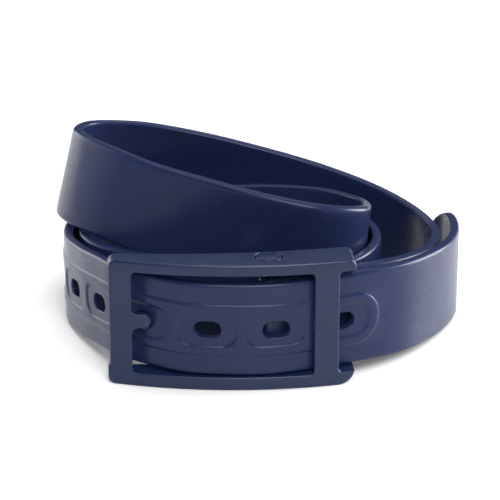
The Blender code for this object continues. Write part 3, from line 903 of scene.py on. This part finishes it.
def noise(tree, scale, detail=3.0, roughness=0.5, stretch=None):
    texture = tree.nodes.new("ShaderNodeTexNoise")
    texture.inputs["Scale"].default_value = scale
    texture.inputs["Detail"].default_value = detail
    texture.inputs["Roughness"].default_value = roughness
    coordinates = tree.nodes.new("ShaderNodeTexCoord")
    if stretch is None:
        tree.links.new(coordinates.outputs["Object"], texture.inputs["Vector"])
    else:
        mapping = tree.nodes.new("ShaderNodeMapping")
        mapping.inputs["Scale"].default_value = stretch
        tree.links.new(coordinates.outputs["Object"], mapping.inputs["Vector"])
        tree.links.new(mapping.outputs["Vector"], texture.inputs["Vector"])
    return texture.outputs["Fac"]


def remap(tree, value, low, high, to_low, to_high):
    node = tree.nodes.new("ShaderNodeMapRange")
    node.inputs["From Min"].default_value = low
    node.inputs["From Max"].default_value = high
    node.inputs["To Min"].default_value = to_low
    node.inputs["To Max"].default_value = to_high
    tree.links.new(value, node.inputs["Value"])
    return node.outputs["Result"]


def blend_colours(tree, factor, first, second):
    node = tree.nodes.new("ShaderNodeMix")
    node.data_type = "RGBA"
    tree.links.new(factor, node.inputs["Factor"])
    for socket, colour in (("A", first), ("B", second)):
        target = next(s for s in node.inputs if s.name == socket and s.type == "RGBA")
        if isinstance(colour, tuple):
            target.default_value = (*colour, 1)
        else:
            tree.links.new(colour, target)
    return next(s for s in node.outputs if s.type == "RGBA")


def bump(tree, height, distance, strength, under=None):
    node = tree.nodes.new("ShaderNodeBump")
    node.inputs["Distance"].default_value = distance
    node.inputs["Strength"].default_value = strength
    tree.links.new(height, node.inputs["Height"])
    if under is not None:
        tree.links.new(under, node.inputs["Normal"])
    return node.outputs["Normal"]


def rubber_material():
    """Satin moulded rubber: faint mottling, uneven polish, fine pebble and long flow marks."""
    made, tree, shader = new_material("navy_rubber", (0.02, 0.03, 0.1), 0.42)
    broad = remap(tree, noise(tree, 14, 4), 0.3, 0.7, 0, 1)
    colour = blend_colours(tree, broad, (0.0095, 0.0155, 0.0525), (0.0125, 0.0198, 0.0630))
    specks = remap(tree, noise(tree, 900, 2, 0.6), 0.70, 0.80, 0, 0.35)
    colour = blend_colours(tree, specks, colour, (0.040, 0.055, 0.13))
    tree.links.new(colour, shader.inputs["Base Color"])
    polish = noise(tree, 38, 5, 0.6)
    tree.links.new(remap(tree, polish, 0.3, 0.7, 0.25, 0.30), shader.inputs["Roughness"])
    fine = bump(tree, noise(tree, 2600, 2), 0.00003, 0.35)
    flow = bump(tree, noise(tree, 120, 3, 0.5, (1, 1, 0.25)), 0.00009, 0.2, fine)
    tree.links.new(flow, shader.inputs["Normal"])
    shader.inputs["Specular IOR Level"].default_value = 0.23
    return made


def plastic_material():
    """Matte moulded plastic with a spark-eroded grain and rubbed, slightly lighter patches."""
    made, tree, shader = new_material("navy_plastic", (0.03, 0.035, 0.08), 0.5)
    broad = remap(tree, noise(tree, 22, 4), 0.3, 0.7, 0, 1)
    colour = blend_colours(tree, broad, (0.0058, 0.0134, 0.0480), (0.0072, 0.0162, 0.0550))
    scuffs = remap(tree, noise(tree, 260, 4, 0.7, (1, 1, 0.2)), 0.66, 0.80, 0, 0.3)
    colour = blend_colours(tree, scuffs, colour, (0.045, 0.058, 0.11))
    tree.links.new(colour, shader.inputs["Base Color"])
    polish = noise(tree, 60, 4, 0.6)
    tree.links.new(remap(tree, polish, 0.3, 0.7, 0.29, 0.36), shader.inputs["Roughness"])
    grain = bump(tree, noise(tree, 1800, 3, 0.65), 0.00005, 0.45)
    tree.links.new(grain, shader.inputs["Normal"])
    shader.inputs["Specular IOR Level"].default_value = 0.35
    return made


def steel_material():
    """Satin stainless steel with turned marks."""
    made, tree, shader = new_material("satin_steel", (0.58, 0.58, 0.6), 0.3, 1.0)
    colour = blend_colours(tree, noise(tree, 90, 3), (0.52, 0.52, 0.54), (0.66, 0.66, 0.68))
    tree.links.new(colour, shader.inputs["Base Color"])
    marks = noise(tree, 1500, 3, 0.6, (1, 0.1, 1))
    tree.links.new(remap(tree, marks, 0.3, 0.7, 0.24, 0.38), shader.inputs["Roughness"])
    tree.links.new(bump(tree, marks, 0.00002, 0.3), shader.inputs["Normal"])
    return made


def floor_material():
    """Pale studio sweep with a very faint unevenness."""
    made, tree, shader = new_material("pale_sweep", (0.86, 0.86, 0.86), 0.45)
    tone = blend_colours(tree, noise(tree, 3, 3), (0.85, 0.85, 0.85), (0.88, 0.88, 0.88))
    tree.links.new(tone, shader.inputs["Base Color"])
    tree.links.new(remap(tree, noise(tree, 8, 3), 0.3, 0.7, 0.38, 0.5), shader.inputs["Roughness"])
    shader.inputs["Specular IOR Level"].default_value = 0.35
    return made


def dress(piece, finish, slot, body, *nodes):
    piece.data.materials.clear()
    piece.data.materials.append(finish)
    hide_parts(*nodes)
    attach(piece, body)


# ---------------------------------------------------------------- studio

FLOOR_GAP = 0.0002
COIL_MIDDLE = (0, 0, 0.05)
CAMERA_SPOT = (-0.0029, -1.0617, 0.4505)
CAMERA_TILT = math.radians(69.0)
CAMERA_LENS = 151.2


def area_light(name, position, size, power):
    """Soft rectangular light turned to the middle of the coil."""
    data = bpy.data.lights.new(name, "AREA")
    data.shape = "RECTANGLE"
    data.size, data.size_y = size
    data.energy = power
    lamp = bpy.data.objects.new(name, data)
    bpy.context.scene.collection.objects.link(lamp)
    lamp.location = position
    lamp.rotation_euler = (Vector(COIL_MIDDLE) - Vector(position)).to_track_quat("-Z", "Y").to_euler()


def soft_sun(name, source, spread, strength):
    """Parallel light from a wide disc, so that the whole floor is lit evenly."""
    data = bpy.data.lights.new(name, "SUN")
    data.angle = math.radians(spread)
    data.energy = strength
    lamp = bpy.data.objects.new(name, data)
    bpy.context.scene.collection.objects.link(lamp)
    lamp.location = source
    lamp.rotation_euler = (-Vector(source)).to_track_quat("-Z", "Y").to_euler()


def studio():
    """White floor, soft lights and the camera."""
    shape = bmesh.new()
    bmesh.ops.create_grid(shape, x_segments=4, y_segments=4, size=6.0)
    mesh = bpy.data.meshes.new("floor")
    shape.to_mesh(mesh)
    shape.free()
    floor = link("floor", mesh)
    floor.location.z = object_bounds()[0][2] - FLOOR_GAP
    mesh.materials.append(floor_material())
    floor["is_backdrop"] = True

    world = bpy.data.worlds.new("studio")
    world.use_nodes = True
    background = world.node_tree.nodes["Background"]
    background.inputs["Color"].default_value = (1.0, 1.0, 1.0, 1)
    background.inputs["Strength"].default_value = 0.1
    bpy.context.scene.world = world

    soft_sun("key", (0.25, -0.75, 1.1), 30.0, 1.8)
    soft_sun("top", (-0.1, -0.05, 1.0), 24.0, 0.7)
    area_light("left_rear", (-1.0, 0.75, 0.35), (0.8, 0.7), 7.2)
    area_light("left", (-1.2, 0.1, 0.5), (0.8, 0.9), 5.8)
    area_light("right", (1.15, 0.35, 0.4), (0.8, 0.8), 31.0)
    area_light("front", (0.3, -1.5, 1.0), (1.2, 0.7), 13.5)
    area_light("back", (-0.3, 1.1, 1.1), (1.6, 0.6), 3.0)

    camera_data = bpy.data.cameras.new("camera")
    camera_data.sensor_width = 36.0
    camera_data.lens = CAMERA_LENS
    camera_data.clip_start = 0.05
    camera_data.clip_end = 50.0
    camera = bpy.data.objects.new("camera", camera_data)
    bpy.context.scene.collection.objects.link(camera)
    camera.location = CAMERA_SPOT
    camera.rotation_euler = (CAMERA_TILT, 0.0, 0.0)
    bpy.context.scene.camera = camera
    bpy.context.scene.view_settings.view_transform = "Standard"


# ---------------------------------------------------------------- assembly

def main():
    """Builds every piece, puts it on its body and lights the scene."""
    rubber = rubber_material()
    plastic = plastic_material()
    steel = steel_material()
    dress(make_strap(), rubber, "strap_rubber", "belt", "strap")
    for piece, node in make_posts():
        dress(piece, steel, "post_steel", "belt", node)
    pivot = Matrix.Translation((PIN.x * MM, PIN.y * MM, 0)) @ Matrix.Rotation(BUCKLE_YAW, 4, "Z")
    for piece, node in ((make_buckle(), "buckle_frame"), (make_pin(), "cross_pin"), (make_cap(), "pin_cap")):
        piece.matrix_world = pivot
        dress(piece, plastic, "buckle_plastic", "buckle", node)
    studio()


main()
